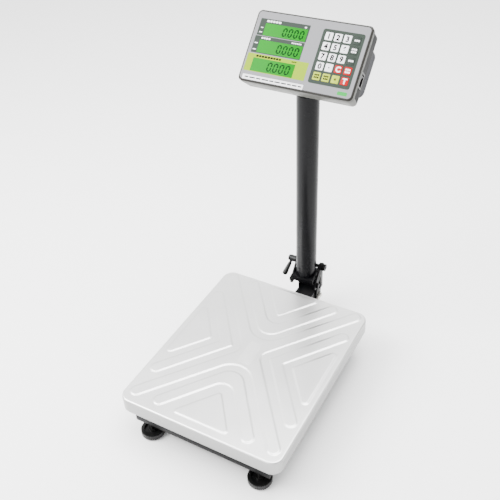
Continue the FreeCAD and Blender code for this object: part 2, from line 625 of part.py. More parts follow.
def battery():
    """The sealed rechargeable battery in the rear housing, with its two terminals."""
    body = rounded_box(-50, 50, -30, 38, HOUSING_Z + 6, REAR_Z - 3, 2)
    tabs = [box(x, x + 6, 28, 34, REAR_Z - 4, REAR_Z - 0.5) for x in (-40, 34)]
    return place_head(fuse([body] + tabs))


def face_film():
    """The printed film on the face, cut out for the keys and the displays."""
    w, h = HEAD_HALF_W - FILM_INSET, HEAD_HALF_H - FILM_INSET
    film = rounded_box(-w, w, -h, h, 0, FILM_T, HEAD_CORNER_R - CHAMFER)
    holes = [key_block(k, KEY_GAP, -1, 1) for k in range(len(KEY_NAMES))]
    holes += [lcd_block(rect, 0.0, -1, 1) for rect in LCD_RECTS]
    return place_head(film.cut(holes))


def lcd_windows():
    """Three clear windows, one over each display."""
    return place_head(Part.makeCompound([lcd_block(rect, -0.1, -1.0, 0.2) for rect in LCD_RECTS]))


def lcd_modules():
    """Three display modules behind the windows."""
    return place_head(Part.makeCompound([lcd_block(rect, -1.0, -9.0, -1.2) for rect in LCD_RECTS]))


def main_board():
    """The circuit board behind the displays and keys, with its chips, spacers and key domes."""
    board = box(-112, 113, -62, 62, -15.6, -14.0)
    chips = [box(-60, -40, -10, 10, -18, -15.5), box(20, 32, 20, 44, -18, -15.5)]
    spacers = [box(x - 3, x + 3, y - 3, y + 3, -14.2, -9.0) for x in (-100, -20) for y in (37, 0, -40)]
    domes = []
    for k in range(len(KEY_NAMES)):
        x, y = key_centre(k)
        domes.append(Part.makeCone(4.5, 3.0, 8.0, V(x, y, -14.2), Z_AXIS))
    return place_head(fuse([board] + chips + spacers + domes))


def key(index):
    """One key: a flat cap with a flange behind the face that keeps it in."""
    cap = key_block(index, 0.0, -KEY_DEEP, KEY_PROUD)
    cap = round_edges(cap, 0.4, lambda b: b.ZMin > KEY_PROUD - 1e-3)
    flange = key_block(index, 0.9, -KEY_DEEP - 0.8, -KEY_DEEP + 0.2)
    return place_head(fuse([cap, flange]))


def switch_block(grow, x0, x1):
    """The space of the power switch in the right side wall."""
    half_l, half_w = SWITCH_L / 2 + grow - 1.5, SWITCH_W / 2 + grow - 1.5
    return box(x0, x1, SWITCH_Y - half_l, SWITCH_Y + half_l, SWITCH_Z - half_w, SWITCH_Z + half_w)


def switch_frame():
    """The power switch's frame, snapped into the side wall."""
    side = HEAD_HALF_W - 1.5
    body = fuse([switch_block(1.5, side, side + 1.2), switch_block(-0.05, side - 14, side + 0.5)])
    return place_head(body.cut(switch_block(-2.0, side - 12, side + 3)))


def rocker():
    """The power switch's rocker, pressed in at one end."""
    side = HEAD_HALF_W - 1.5
    half_w = SWITCH_W / 2 - 4.0
    pivot = V(side - 6, SWITCH_Y, SWITCH_Z)
    body = Part.makeCylinder(12.2, 2 * half_w, pivot - V(0, 0, half_w), Z_AXIS)
    body = body.common(box(side - 6, side + 3.4, SWITCH_Y - 11.0, SWITCH_Y + 11.0, -99, 99))
    hollow = Part.makeCylinder(26, 2 * half_w + 2, pivot + V(29.5, 0, -half_w - 1), Z_AXIS)
    body = body.cut(hollow)
    body.rotate(pivot, Z_AXIS, -ROCKER_TILT)
    return place_head(body)


def power_inlet():
    """The charger inlet on the left side of the rear shell."""
    side = -HEAD_HALF_W + 1.5
    start = V(side + 14, SWITCH_Y, SWITCH_Z)
    barrel = rod(INLET_R, start, V(side - 1.5, SWITCH_Y, SWITCH_Z))
    barrel = barrel.cut(rod(3.0, start - V(4, 0, 0), V(side - 3, SWITCH_Y, SWITCH_Z)))
    pin = rod(1.0, start - V(2, 0, 0), V(side - 0.5, SWITCH_Y, SWITCH_Z))
    return place_head(fuse([barrel, pin]))


def head_bracket():
    """The clevis on the column's top: a plug, a cap plate and two cheeks."""
    pivot = head_point(0, TILT_Y, TILT_Z)
    cap_top = COL_TOP + CAP_T
    plug = rod(COL_R - COL_WALL, V(0, COL_Y, COL_TOP - 20), V(0, COL_Y, COL_TOP))
    cap = box(-COL_R, COL_R, pivot.y + 1, COL_Y, COL_TOP, cap_top)
    cap = cap.fuse(rod(COL_R, V(0, COL_Y, COL_TOP), V(0, COL_Y, cap_top)))
    x0, x1 = LUG_HALF + 0.5, LUG_HALF + 4.5
    cheek = hull_plate([(pivot.y, pivot.z, LUG_R), (pivot.y + 9, cap_top + 2, 4.0)], x0, x1)
    cheek = cheek.fuse(box(x0, x1, pivot.y + 1, pivot.y + 13, COL_TOP, cap_top + 2))
    bracket = fuse([plug, cap] + mirrored([cheek]))
    return bracket.cut(rod(TILT_R, V(-40, pivot.y, pivot.z), V(40, pivot.y, pivot.z)))


def tilt_bolt():
    """The bolt through the clevis and the head's lug."""
    p = head_point(0, TILT_Y, TILT_Z)
    outer = LUG_HALF + 4.5
    shank = rod(TILT_R, V(-outer - 14, p.y, p.z), V(outer, p.y, p.z))
    return fuse([shank, hexagon(13, 5, V(outer, p.y, p.z), X_AXIS)])


def tilt_knob():
    """The lobed knob that tightens the tilt."""
    p = head_point(0, TILT_Y, TILT_Z)
    x1 = -LUG_HALF - 4.5 - 0.3
    x0 = x1 - 16
    reach = KNOB_R - LOBE_R
    lobes = [rod(LOBE_R, V(x0, p.y + reach * math.cos(a), p.z + reach * math.sin(a)),
                 V(x1 - 4, p.y + reach * math.cos(a), p.z + reach * math.sin(a)))
             for a in (math.pi / 6 + k * math.pi / 3 for k in range(6))]
    core = [rod(7.5, V(x0, p.y, p.z), V(x1 - 4, p.y, p.z)), rod(6, V(x0, p.y, p.z), V(x1, p.y, p.z))]
    knob = fuse(core + lobes)
    return knob.cut(rod(TILT_R + FIT, V(x0 + 2, p.y, p.z), V(x1 + 1, p.y, p.z)))


def all_nodes():
    """Every sub-part by its node name."""
    nodes = {
        "platter_cover": platter_cover(), "platter_carrier": platter_carrier(),
        "platter_buffers": platter_buffers(), "load_cell": load_cell(),
        "load_cell_spacers": load_cell_spacers(), "load_cell_bolts": load_cell_bolts(),
        "base_frame": base_frame(), "overload_stops": overload_stops(),
        "foot_lock_nuts": foot_lock_nuts(), "lower_post": lower_post(), "post_bolts": post_bolts(),
        "hinge_ears": hinge_ears(), "hinge_fasteners": hinge_fasteners(),
        "pivot_bolt": pivot_bolt(), "clamp_lever": clamp_lever(), "column_shoe": column_shoe(),
        "column_tube": column_tube(), "head_bracket": head_bracket(), "tilt_bolt": tilt_bolt(),
        "tilt_knob": tilt_knob(), "head_front_shell": head_front_shell(),
        "head_rear_shell": head_rear_shell(), "rear_housing": rear_housing(), "battery": battery(),
        "face_film": face_film(), "lcd_windows": lcd_windows(), "lcd_modules": lcd_modules(),
        "main_board": main_board(), "case_screws": case_screws(),
        "switch_frame": switch_frame(), "power_switch": rocker(), "power_inlet": power_inlet(),
    }
    for name, centre in foot_places():
        nodes["foot_" + name] = foot(centre)
        nodes["foot_pad_" + name] = foot_pad(centre)
    for index, name in enumerate(KEY_NAMES):
        nodes["key_" + name] = key(index)
    return nodes


def origin_y(nodes):
    """The middle of the scale's footprint along Y, in the platter's coordinates."""
    return (nodes["rear_housing"].optimalBoundingBox().YMax - PLATTER_D / 2) / 2


def main():
    """Write one STEP file for each sub-part."""
    os.makedirs("parts", exist_ok=True)
    nodes = all_nodes()
    shift = V(0, -origin_y(nodes), 0)
    for name, shape in nodes.items():
        shape.translate(shift)
        shape.exportStep("parts/" + name + ".step")


main()
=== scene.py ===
"""Looks of a platform weighing scale with a folding column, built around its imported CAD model."""
import json
import math

import bmesh
import bpy
import numpy as np
from mathutils import Matrix, Vector
from mathutils.geometry import tessellate_polygon


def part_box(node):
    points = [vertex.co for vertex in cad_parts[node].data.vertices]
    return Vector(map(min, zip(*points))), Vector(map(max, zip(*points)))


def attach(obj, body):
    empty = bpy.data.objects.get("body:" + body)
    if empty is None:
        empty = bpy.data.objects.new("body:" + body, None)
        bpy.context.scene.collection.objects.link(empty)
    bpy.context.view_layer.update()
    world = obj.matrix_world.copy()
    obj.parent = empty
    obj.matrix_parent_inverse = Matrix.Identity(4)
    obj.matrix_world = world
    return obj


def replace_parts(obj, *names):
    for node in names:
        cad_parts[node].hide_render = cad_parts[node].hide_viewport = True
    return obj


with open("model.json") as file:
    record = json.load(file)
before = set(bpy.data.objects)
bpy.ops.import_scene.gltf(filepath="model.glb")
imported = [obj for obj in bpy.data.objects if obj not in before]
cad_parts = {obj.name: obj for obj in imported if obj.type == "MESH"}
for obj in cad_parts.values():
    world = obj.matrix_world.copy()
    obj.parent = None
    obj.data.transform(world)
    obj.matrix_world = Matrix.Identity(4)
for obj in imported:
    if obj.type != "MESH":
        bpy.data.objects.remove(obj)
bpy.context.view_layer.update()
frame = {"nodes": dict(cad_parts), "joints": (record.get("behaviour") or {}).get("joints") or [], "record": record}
MM = 0.001
X = Vector((1, 0, 0))
JOINTS = {joint["name"]: joint for joint in frame["joints"]}
CAD_NODES = frame["nodes"]
BODY_OF = {node: body for body, nodes in frame["record"]["behaviour"]["bodies"].items() for node in nodes}

# Camera, in metres and degrees, seen from the front right
CAMERA_FROM_PLATTER = Vector((0.60287, -0.98943, 1.21384))
CAMERA_AZIMUTH, CAMERA_ELEVATION, CAMERA_ROLL = 30.71, 38.04, -2.92
CAMERA_LENS = 51.29

# Pressed ribs of the platter, in millimetres from the pressing's centre
RIB_HALF_W = 13.2
RIB_SLOPE = math.radians(52.8)
RIB_WALL = 5.5
PRESS_SHIFT_Y = 6.0
RIB_H = 1.6
RIB_CAP = RIB_HALF_W * 0.985
RIB_ARC_STEP = 1.5
X_TIP, X_SIDE_APEX, X_END_APEX = (172.0, 216.0), (21.0, 27.0), (16.7, 51.0)
END_V_TIP, END_V_OUTER_R, END_V_INNER_R = (110.5, 215.0), 35.0, 30.0
SIDE_V_TIP, SIDE_V_R = (172.0, 139.0), 5.0
END_TRI_APEX, END_TRI_BASE, END_TRI_R = 136.0, 229.0, 6.0
SIDE_TRI_APEX, SIDE_TRI_BASE, SIDE_TRI_R = 108.0, 183.0, 8.0
GRID_STEP = 1.35

# The platter's sheet, in millimetres; a face whose normal rises less than SKIRT_NORMAL is its skirt and is given a
# darker copy of the steel as painted shade
RIM_R, CORNER_R, SHEET_T = 4.5, 27.0, 1.2
SKIRT_NORMAL = 0.3

# Edge rounding of the steel parts, in millimetres
EDGE_ROUND = {"base_frame": 1.5, "lower_post": 1.0, "hinge_ears": 0.8, "column_shoe": 0.8,
              "head_bracket": 0.8, "hinge_fasteners": 0.4}

# Printing on the face, in head millimetres: a panel is x0, x1, y0, y1 and its finish
PANELS = [(-118.0, -2.8, 23.0, 60.2, "panel_dark"), (-119.2, -3.9, -15.7, 21.6, "panel_dark"),
          (-123.0, 18.5, -56.3, -17.7, "panel_yellow")]
FILM_TOP = 0.5
INK_LOW, INK_HIGH = FILM_TOP + 0.34, FILM_TOP + 0.42
DIGIT_THICK, DIGIT_SLANT = 2.8, 0.10
KEY_W, KEY_H, KEY_CLEAR, KEY_HOLE_R = 16.2, 16.6, 0.3, 1.6
MARK_W, MARK_HALF_H, MARK_PITCH = 3.2, 1.8, 3.8
LEGENDS = {"key_point": ".", "key_clear": "C", "key_tare": "T", "key_light": "*"}

# Studio: lamps by name, place in metres, size in metres and power in watts
LAMPS = (("key", (-1.5, -1.1, 2.2), 1.6, 165), ("top", (0.3, 0.4, 2.8), 2.0, 150),
         ("right", (1.9, -0.6, 1.4), 1.2, 8))
BRIGHT_SIDE = (0.85, -0.25, -0.3)
SKY_BRIGHT, SKY_DIM = 3.2, 0.62


# ---------------------------------------------------------------- mesh helpers

def mesh_object(name, bm, material, body, smooth_angle=None):
    """Turn a bmesh into an object with one material, riding on a body."""
    bmesh.ops.remove_doubles(bm, verts=bm.verts, dist=1e-7)
    bmesh.ops.recalc_face_normals(bm, faces=bm.faces)
    mesh = bpy.data.meshes.new(name)
    bm.to_mesh(mesh)
    bm.free()
    piece = bpy.data.objects.new(name, mesh)
    bpy.context.scene.collection.objects.link(piece)
    mesh.materials.append(material)
    if smooth_angle is not None:
        smooth(piece, smooth_angle)
    if body:
        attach(piece, body)
    return piece


def smooth(piece, angle_deg):
    """Shade smooth, with edges sharper than the angle kept crisp."""
    mesh = piece.data
    mesh.polygons.foreach_set("use_smooth", [True] * len(mesh.polygons))
    bm = bmesh.new()
    bm.from_mesh(mesh)
    limit = math.radians(angle_deg)
    for edge in bm.edges:
        edge.smooth = len(edge.link_faces) == 2 and edge.calc_face_angle(0.0) < limit
    bm.to_mesh(mesh)
    bm.free()


def rounded_loop(corners, step=1.0):
    """Points of a closed outline whose corners (x, y, radius) are rounded by tangent arcs."""
    points = []
    count = len(corners)
    for k, (x, y, radius) in enumerate(corners):
        here = Vector((x, y))
        before = (Vector(corners[k - 1][:2]) - here).normalized()
        after = (Vector(corners[(k + 1) % count][:2]) - here).normalized()
        half = before.angle(after) / 2
        centre = here + (before + after).normalized() * (radius / math.sin(half))
        start = here + before * (radius / math.tan(half)) - centre
        end = here + after * (radius / math.tan(half)) - centre
        turn = math.atan2(start.x * end.y - start.y * end.x, start.dot(end))
        parts = max(2, int(abs(turn) * radius / step))
        for i in range(parts + 1):
            angle = turn * i / parts
            c, s = math.cos(angle), math.sin(angle)
            points.append((centre.x + start.x * c - start.y * s, centre.y + start.x * s + start.y * c))
    return points


def rect_loop(x0, x1, y0, y1, radius, step=0.6):
    """A rounded rectangle, anticlockwise."""
    return rounded_loop([(x0, y0, radius), (x1, y0, radius), (x1, y1, radius), (x0, y1, radius)], step)


def add_cap(bm, loops, rings, flip):
    """Fill the outline loops[0] with the holes loops[1:], using the vertices in rings."""
    flat = [Vector((p[0], p[1], 0)) for loop in loops for p in loop]
    verts = [v for ring in rings for v in ring]
    for tri in tessellate_polygon([[Vector((p[0], p[1], 0)) for p in loop] for loop in loops]):
        if (flat[tri[1]] - flat[tri[0]]).cross(flat[tri[2]] - flat[tri[0]]).length > 1e-12:
            face = [verts[i] for i in (reversed(tri) if flip else tri)]
            if bm.faces.get(face) is None:
                bm.faces.new(face)


def bridge(bm, low, high):
    """Join two rings that have the same number of vertices."""
    count = len(low)
    for i in range(count):
        j = (i + 1) % count
        bm.faces.new((low[i], low[j], high[j], high[i]))


def prism(outline, holes, z0, z1, place, top_round=0.0):
    """A closed plate in millimetres, with its top outer edge rounded, moved by place into metres."""
    bm = bmesh.new()
    add_prism(bm, outline, holes, z0, z1, place, top_round)
    return bm


def shrink(outline, amount):
    """The outline moved inwards by amount."""
    count = len(outline)
    area = sum(outline[i][0] * outline[(i + 1) % count][1] - outline[(i + 1) % count][0] * outline[i][1]
               for i in range(count))
    side = 1.0 if area > 0 else -1.0
    result = []
    for i in range(count):
        a, b, c = Vector(outline[i - 1]), Vector(outline[i]), Vector(outline[(i + 1) % count])
        along = ((b - a).normalized() + (c - b).normalized()).normalized()
        result.append((b.x - along.y * amount * side, b.y + along.x * amount * side))
    return result


def add_prism(bm, outline, holes, z0, z1, place, top_round=0.0):
    """Add a plate to bm: bottom cap, walls, a rounded top edge and the top cap."""
    def ring(points, z):
        return [bm.verts.new(place @ Vector((p[0], p[1], z))) for p in points]
    bottom = ring(outline, z0)
    rings = [bottom]
    top = outline
    if top_round > 0:
        rings.append(ring(outline, z1 - top_round))
        for k in range(1, 4):
            angle = k * math.pi / 6
            top = shrink(outline, top_round * (1 - math.cos(angle)))
            rings.append(ring(top, z1 - top_round * (1 - math.sin(angle))))
    else:
        rings.append(ring(outline, z1))
    for low, high in zip(rings, rings[1:]):
        bridge(bm, low, high)
    hole_low = [ring(hole, z0) for hole in holes]
    hole_high = [ring(hole, z1) for hole in holes]
    for low, high in zip(hole_low, hole_high):
        bridge(bm, high, low)
    add_cap(bm, [outline] + holes, [bottom] + hole_low, True)
    add_cap(bm, [top] + holes, [rings[-1]] + hole_high, False)


def bevelled(node, width, material, segments=2, angle=30):
    """A copy of a CAD node whose edges are rounded, standing for that node."""
    source = CAD_NODES[node]
    bm = bmesh.new()
    bm.from_mesh(source.data)
    bmesh.ops.remove_doubles(bm, verts=bm.verts, dist=2e-6)
    bmesh.ops.dissolve_limit(bm, angle_limit=math.radians(1.0), verts=bm.verts, edges=bm.edges)
    piece = mesh_object(node + "_shell", bm, material, BODY_OF[node])
    round_off = piece.modifiers.new("round", "BEVEL")
    round_off.width = width * MM
    round_off.segments = segments
    round_off.limit_method = "ANGLE"
    round_off.angle_limit = math.radians(angle)
    round_off.use_clamp_overlap = True
    round_off.harden_normals = False
    apply_modifiers(piece)
    smooth(piece, 40)
    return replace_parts(piece, node)


def apply_modifiers(piece):
    """Make the modifiers' result the piece's own mesh."""
    graph = bpy.context.evaluated_depsgraph_get()
    mesh = bpy.data.meshes.new_from_object(piece.evaluated_get(graph))
    piece.modifiers.clear()
    piece.data = mesh


def centre_of(node):
    """The middle of a CAD node's box."""
    low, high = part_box(node)
    return (low + high) / 2


def islands(node):
    """The separate solids of a node, as lists of points."""
    bm = bmesh.new()
    bm.from_mesh(CAD_NODES[node].data)
    bmesh.ops.remove_doubles(bm, verts=bm.verts, dist=2e-6)
    seen, groups = set(), []
    for start in bm.verts:
        if start in seen:
            continue
        stack, group = [start], []
        seen.add(start)
        while stack:
            vert = stack.pop()
            group.append(vert.co.copy())
            for edge in vert.link_edges:
                other = edge.other_vert(vert)
                if other not in seen:
                    seen.add(other)
                    stack.append(other)
        groups.append(group)
    bm.free()
    return groups


# ---------------------------------------------------------------- materials


def nodes_of(name):
    """A new node material and its parts."""
    material = bpy.data.materials.new(name)
    material.use_nodes = True
    tree = material.node_tree
    return material, tree, tree.nodes["Principled BSDF"]


def noise_node(tree, scale, detail=3.0, stretch=(1, 1, 1)):
    """Noise in object space, stretched along the axes."""
    coord = tree.nodes.new("ShaderNodeTexCoord")
    mapping = tree.nodes.new("ShaderNodeMapping")
    noise = tree.nodes.new("ShaderNodeTexNoise")
    mapping.inputs["Scale"].default_value = stretch
    noise.inputs["Scale"].default_value = scale
    noise.inputs["Detail"].default_value = detail
    tree.links.new(coord.outputs["Object"], mapping.inputs["Vector"])
    tree.links.new(mapping.outputs["Vector"], noise.inputs["Vector"])
    return noise


def spread(tree, source, low, high, from_low=0.3, from_high=0.7):
    """Map a 0 to 1 value to a range."""
    node = tree.nodes.new("ShaderNodeMapRange")
    node.inputs["From Min"].default_value = from_low
    node.inputs["From Max"].default_value = from_high
    node.inputs["To Min"].default_value = low
    node.inputs["To Max"].default_value = high
    tree.links.new(source, node.inputs["Value"])
    return node.outputs["Result"]


def blend_colours(tree, factor, first, second):
    """Mix two colours by a 0 to 1 value."""
    ramp = tree.nodes.new("ShaderNodeValToRGB")
    ramp.color_ramp.elements[0].color = (*first, 1)
    ramp.color_ramp.elements[1].color = (*second, 1)
    tree.links.new(factor, ramp.inputs["Fac"])
    return ramp.outputs["Color"]


def bump_node(tree, height, strength, distance):
    """A bump from a height value."""
    bump = tree.nodes.new("ShaderNodeBump")
    bump.inputs["Strength"].default_value = strength
    bump.inputs["Distance"].default_value = distance
    tree.links.new(height, bump.inputs["Height"])
    return bump.outputs["Normal"]


def surface(name, colour, rough, metallic=0.0, grain=900.0, tint=0.06, bump=0.15, depth=0.00006,
            rough_spread=0.06, stretch=(1, 1, 1), shine=0.5):
    """A procedural finish: grain in colour, roughness and bump, over soft larger patches."""
    material, tree, shader = nodes_of(name)
    fine = noise_node(tree, grain, 4.0, stretch)
    patches = noise_node(tree, grain / 60, 3.0)
    darker = tuple(c * (1 - tint) for c in colour)
    lighter = tuple(min(1.0, c * (1 + tint)) for c in colour)
    mixed = tree.nodes.new("ShaderNodeMath")
    mixed.operation = "MULTIPLY_ADD"
    mixed.inputs[1].default_value = 0.45
    tree.links.new(fine.outputs["Fac"], mixed.inputs[0])
    tree.links.new(spread(tree, patches.outputs["Fac"], 0.0, 0.55), mixed.inputs[2])
    tree.links.new(blend_colours(tree, mixed.outputs["Value"], darker, lighter), shader.inputs["Base Color"])
    tree.links.new(spread(tree, mixed.outputs["Value"], rough - rough_spread, rough + rough_spread, 0.2, 0.8),
                   shader.inputs["Roughness"])
    tree.links.new(bump_node(tree, fine.outputs["Fac"], bump, depth), shader.inputs["Normal"])
    shader.inputs["Metallic"].default_value = metallic
    shader.inputs["Specular IOR Level"].default_value = shine
    return material


MATERIALS = {name: surface(name, **finish) for name, finish in {
    "stainless": dict(colour=(0.66, 0.66, 0.655), rough=0.36, metallic=1.0, grain=420, tint=0.03,
        bump=0.08, depth=0.00002, rough_spread=0.05, stretch=(1, 6, 1)),
    # The skirt's finish is the stainless steel made darker: painted shade for the side walls
    "skirt_painted_shade": dict(colour=(0.30, 0.30, 0.297), rough=0.30, metallic=1.0, grain=420, tint=0.03, bump=0.08,
        depth=0.00002, rough_spread=0.05, stretch=(1, 6, 1)),
    "black_steel": dict(colour=(0.0018, 0.0018, 0.0022), rough=0.36, metallic=0.0, grain=1500, tint=0.2,
        bump=0.35, depth=0.00005, rough_spread=0.06, shine=0.06),
    "column_paint": dict(colour=(0.0020, 0.0020, 0.0026), rough=0.25, metallic=0.0, grain=1300,
        tint=0.15, bump=0.30, depth=0.00005, rough_spread=0.05, shine=0.12),
    "zinc_steel": dict(colour=(0.55, 0.54, 0.50), rough=0.35, metallic=1.0, grain=700, tint=0.10,
        bump=0.12, depth=0.00003),
    "aluminium": dict(colour=(0.72, 0.73, 0.74), rough=0.32, metallic=1.0, grain=600, tint=0.05,
        bump=0.12, depth=0.00003, rough_spread=0.05, stretch=(6, 1, 1)),
    "rubber": dict(colour=(0.006, 0.006, 0.006), rough=0.75, metallic=0.0, grain=1200, tint=0.25,
        bump=0.4, depth=0.0001, shine=0.2),
    "foot_plastic": dict(colour=(0.003, 0.003, 0.003), rough=0.30, metallic=0.0, grain=1100, tint=0.2,
        bump=0.2, depth=0.00005, shine=0.3),
    "knob_plastic": dict(colour=(0.003, 0.003, 0.003), rough=0.32, metallic=0.0, grain=1100, tint=0.2,
        bump=0.2, depth=0.00005, shine=0.25),
    "face_grey": dict(colour=(0.17, 0.17, 0.178), rough=0.45, metallic=0.0, grain=1800, tint=0.03,
        bump=0.18, depth=0.00004, shine=0.2),
    # Near-black for the front shell's rim: painted shade standing for the dark line round the face
    "rim_painted_shade": dict(colour=(0.022, 0.021, 0.019), rough=0.42, metallic=0.0, grain=1800, tint=0.06,
        bump=0.18, depth=0.00004, shine=0.1),
    "wall_grey": dict(colour=(0.080, 0.080, 0.072), rough=0.42, metallic=0.0, grain=1800, tint=0.05,
        bump=0.18, depth=0.00004, shine=0.12),
    "rear_dark": dict(colour=(0.003, 0.003, 0.003), rough=0.45, metallic=0.0, grain=1500, tint=0.15,
        bump=0.4, depth=0.0001, shine=0.08),
    "housing_grey": dict(colour=(0.045, 0.045, 0.050), rough=0.50, metallic=0.0, grain=1500, tint=0.04,
        bump=0.3, depth=0.00008, shine=0.04),
    "film": dict(colour=(0.150, 0.150, 0.158), rough=0.42, metallic=0.0, grain=2200, tint=0.02,
        bump=0.15, depth=0.00003, shine=0.15),
    "lcd": dict(colour=(0.002, 0.145, 0.004), rough=0.32, metallic=0.0, grain=160, tint=0.10, bump=0.02,
        depth=0.00001, rough_spread=0.03, shine=0.04),
    "lcd_ink": dict(colour=(0.0006, 0.004, 0.001), rough=0.32, metallic=0.0, grain=900, tint=0.2,
        bump=0.1, depth=0.00001, rough_spread=0.03, shine=0.04),
    "panel_dark": dict(colour=(0.016, 0.024, 0.018), rough=0.45, metallic=0.0, grain=1900, tint=0.08,
        bump=0.15, depth=0.00003, shine=0.1),
    "panel_yellow": dict(colour=(0.18, 0.27, 0.001), rough=0.42, metallic=0.0, grain=1900, tint=0.03,
        bump=0.15, depth=0.00003, shine=0.05),
    "print_white": dict(colour=(0.62, 0.62, 0.64), rough=0.42, metallic=0.0, grain=1900, tint=0.02,
        bump=0.1, depth=0.00002, shine=0.2),
    "print_dark": dict(colour=(0.002, 0.002, 0.002), rough=0.45, metallic=0.0, grain=1900, tint=0.1,
        bump=0.1, depth=0.00002, shine=0.05),
    "print_green": dict(colour=(0.008, 0.22, 0.03), rough=0.42, metallic=0.0, grain=1900, tint=0.03,
        bump=0.1, depth=0.00002, shine=0.1),
    "key_white": dict(colour=(0.62, 0.62, 0.64), rough=0.38, metallic=0.0, grain=1700, tint=0.02,
        bump=0.15, depth=0.00003, shine=0.2),
    "key_dark": dict(colour=(0.014, 0.021, 0.016), rough=0.42, metallic=0.0, grain=1700, tint=0.06,
        bump=0.15, depth=0.00003, shine=0.1),
    "key_red": dict(colour=(0.26, 0.0004, 0.0012), rough=0.40, metallic=0.0, grain=1700, tint=0.04,
        bump=0.15, depth=0.00003, shine=0.08),
    "key_yellow": dict(colour=(0.27, 0.33, 0.020), rough=0.40, metallic=0.0, grain=1700, tint=0.03,
        bump=0.15, depth=0.00003, shine=0.1),
    "switch_black": dict(colour=(0.002, 0.002, 0.002), rough=0.25, metallic=0.0, grain=1400, tint=0.2,
        bump=0.1, depth=0.00003, rough_spread=0.05, shine=0.3),
    "board": dict(colour=(0.015, 0.10, 0.035), rough=0.35, metallic=0.0, grain=900, tint=0.15, bump=0.1,
        depth=0.00003),
    "battery_case": dict(colour=(0.03, 0.03, 0.034), rough=0.42, metallic=0.0, grain=1200, tint=0.1,
        bump=0.3, depth=0.00006),
    "window": dict(colour=(0.45, 0.75, 0.50), rough=0.12, metallic=0.0, grain=500, tint=0.03, bump=0.02,
        depth=0.00001),
    "sticker": dict(colour=(0.60, 0.60, 0.595), rough=0.36, metallic=0.6, grain=1500, tint=0.02,
        bump=0.1, depth=0.00002),
    "floor": dict(colour=(0.93, 0.93, 0.93), rough=0.75, metallic=0.0, grain=60, tint=0.005, bump=0.02,
        depth=0.0001, rough_spread=0.03),
}.items()}


def finish_cad_nodes():
    """Give every CAD node the procedural finish of its slot."""
    for part in frame["record"]["subparts"]:
        mesh = CAD_NODES[part["node"]].data
        mesh.materials.clear()
        mesh.materials.append(MATERIALS[part["material_slot"]])


# ---------------------------------------------------------------- platter

def rib_outlines():
    """The pressed ribs as closed outlines in millimetres about the pressing's centre."""
    along = Vector((math.cos(RIB_SLOPE), math.sin(RIB_SLOPE)))
    across = Vector((along.y, -along.x)) * RIB_HALF_W
    rise = math.tan(RIB_SLOPE)

    def tips(x, y):
        end = Vector((x, y)) + along * RIB_HALF_W
        return end + across, end - across
    low, high = tips(*X_TIP)
    quarter = [(X_SIDE_APEX[0], 0, X_SIDE_APEX[1]), (low.x, low.y, RIB_CAP), (high.x, high.y, RIB_CAP)]
    left = [(-x, y, r) for x, y, r in reversed(quarter)]
    lower = [(x, -y, r) for x, y, r in reversed(left[:2])]
    right = [(-x, y, r) for x, y, r in reversed(lower)]
    apex, radius = X_END_APEX
    outlines = [quarter + [(0, apex, radius)] + left + lower + [(0, -apex, radius)] + right]
    x, y = END_V_TIP
    low, high = tips(x, y)
    step = RIB_HALF_W / math.cos(RIB_SLOPE)
    end_v = [(0, y - x * rise - step, END_V_OUTER_R), (low.x, low.y, RIB_CAP), (high.x, high.y, RIB_CAP),
             (0, y - x * rise + step, END_V_INNER_R), (-high.x, high.y, RIB_CAP), (-low.x, low.y, RIB_CAP)]
    x, y = SIDE_V_TIP
    low, high = tips(x, y)
    step = RIB_HALF_W / math.sin(RIB_SLOPE)
    middle = x - y / rise
    side_v = [(middle - step, 0, SIDE_V_R), (high.x, high.y, RIB_CAP), (low.x, low.y, RIB_CAP),
              (middle + step, 0, SIDE_V_R), (low.x, -low.y, RIB_CAP), (high.x, -high.y, RIB_CAP)]
    half = (END_TRI_BASE - END_TRI_APEX) / rise
    end_tri = [(0, END_TRI_APEX, END_TRI_R), (half, END_TRI_BASE, END_TRI_R),
               (-half, END_TRI_BASE, END_TRI_R)]
    half = (SIDE_TRI_BASE - SIDE_TRI_APEX) * rise
    side_tri = [(SIDE_TRI_APEX, 0, SIDE_TRI_R), (SIDE_TRI_BASE, half, SIDE_TRI_R),
                (SIDE_TRI_BASE, -half, SIDE_TRI_R)]
    for shape in (end_v, end_tri):
        outlines += [shape, [(x, -y, r) for x, y, r in shape]]
    for shape in (side_v, side_tri):
        outlines += [shape, [(-x, y, r) for x, y, r in shape]]
    return [rounded_loop(corners, RIB_ARC_STEP) for corners in outlines]


def rib_heights(xs, ys, height):
    """The pressing's height at points, from the distance to the ribs' outlines."""
    result = np.zeros(len(xs))
    for loop in rib_outlines():
        points = np.array(loop)
        near = ((xs > points[:, 0].min() - RIB_WALL) & (xs < points[:, 0].max() + RIB_WALL)
                & (ys > points[:, 1].min() - RIB_WALL) & (ys < points[:, 1].max() + RIB_WALL))
        px, py = xs[near], ys[near]
        distance = np.full(len(px), 1e9)
        inside = np.zeros(len(px), bool)
        for (x0, y0), (x1, y1) in zip(points, np.roll(points, -1, axis=0)):
            length2 = (x1 - x0) ** 2 + (y1 - y0) ** 2
            if length2 < 1e-9:
                continue
            t = np.clip(((px - x0) * (x1 - x0) + (py - y0) * (y1 - y0)) / length2, 0, 1)
            distance = np.minimum(distance, np.hypot(px - x0 - t * (x1 - x0), py - y0 - t * (y1 - y0)))
            crosses = (y0 > py) != (y1 > py)
            if y1 != y0:
                inside ^= crosses & (px < (x1 - x0) * (py - y0) / (y1 - y0) + x0)
        signed = np.where(inside, distance, -distance)
        t = np.clip(signed / RIB_WALL + 0.5, 0, 1)
        result[near] = np.maximum(result[near], height * t * t * (3 - 2 * t))
    return result


def grid_lines(half, corner):
    """Grid places from -half to half, with places at the corner squares' edges."""
    inner = half - corner
    side = max(6, int(round(corner / GRID_STEP)))
    middle = int(round(2 * inner / GRID_STEP))
    outer = [inner + corner * k / side for k in range(1, side + 1)]
    centre = [-inner + 2 * inner * k / middle for k in range(middle + 1)]
    return [-v for v in reversed(outer)] + centre + outer


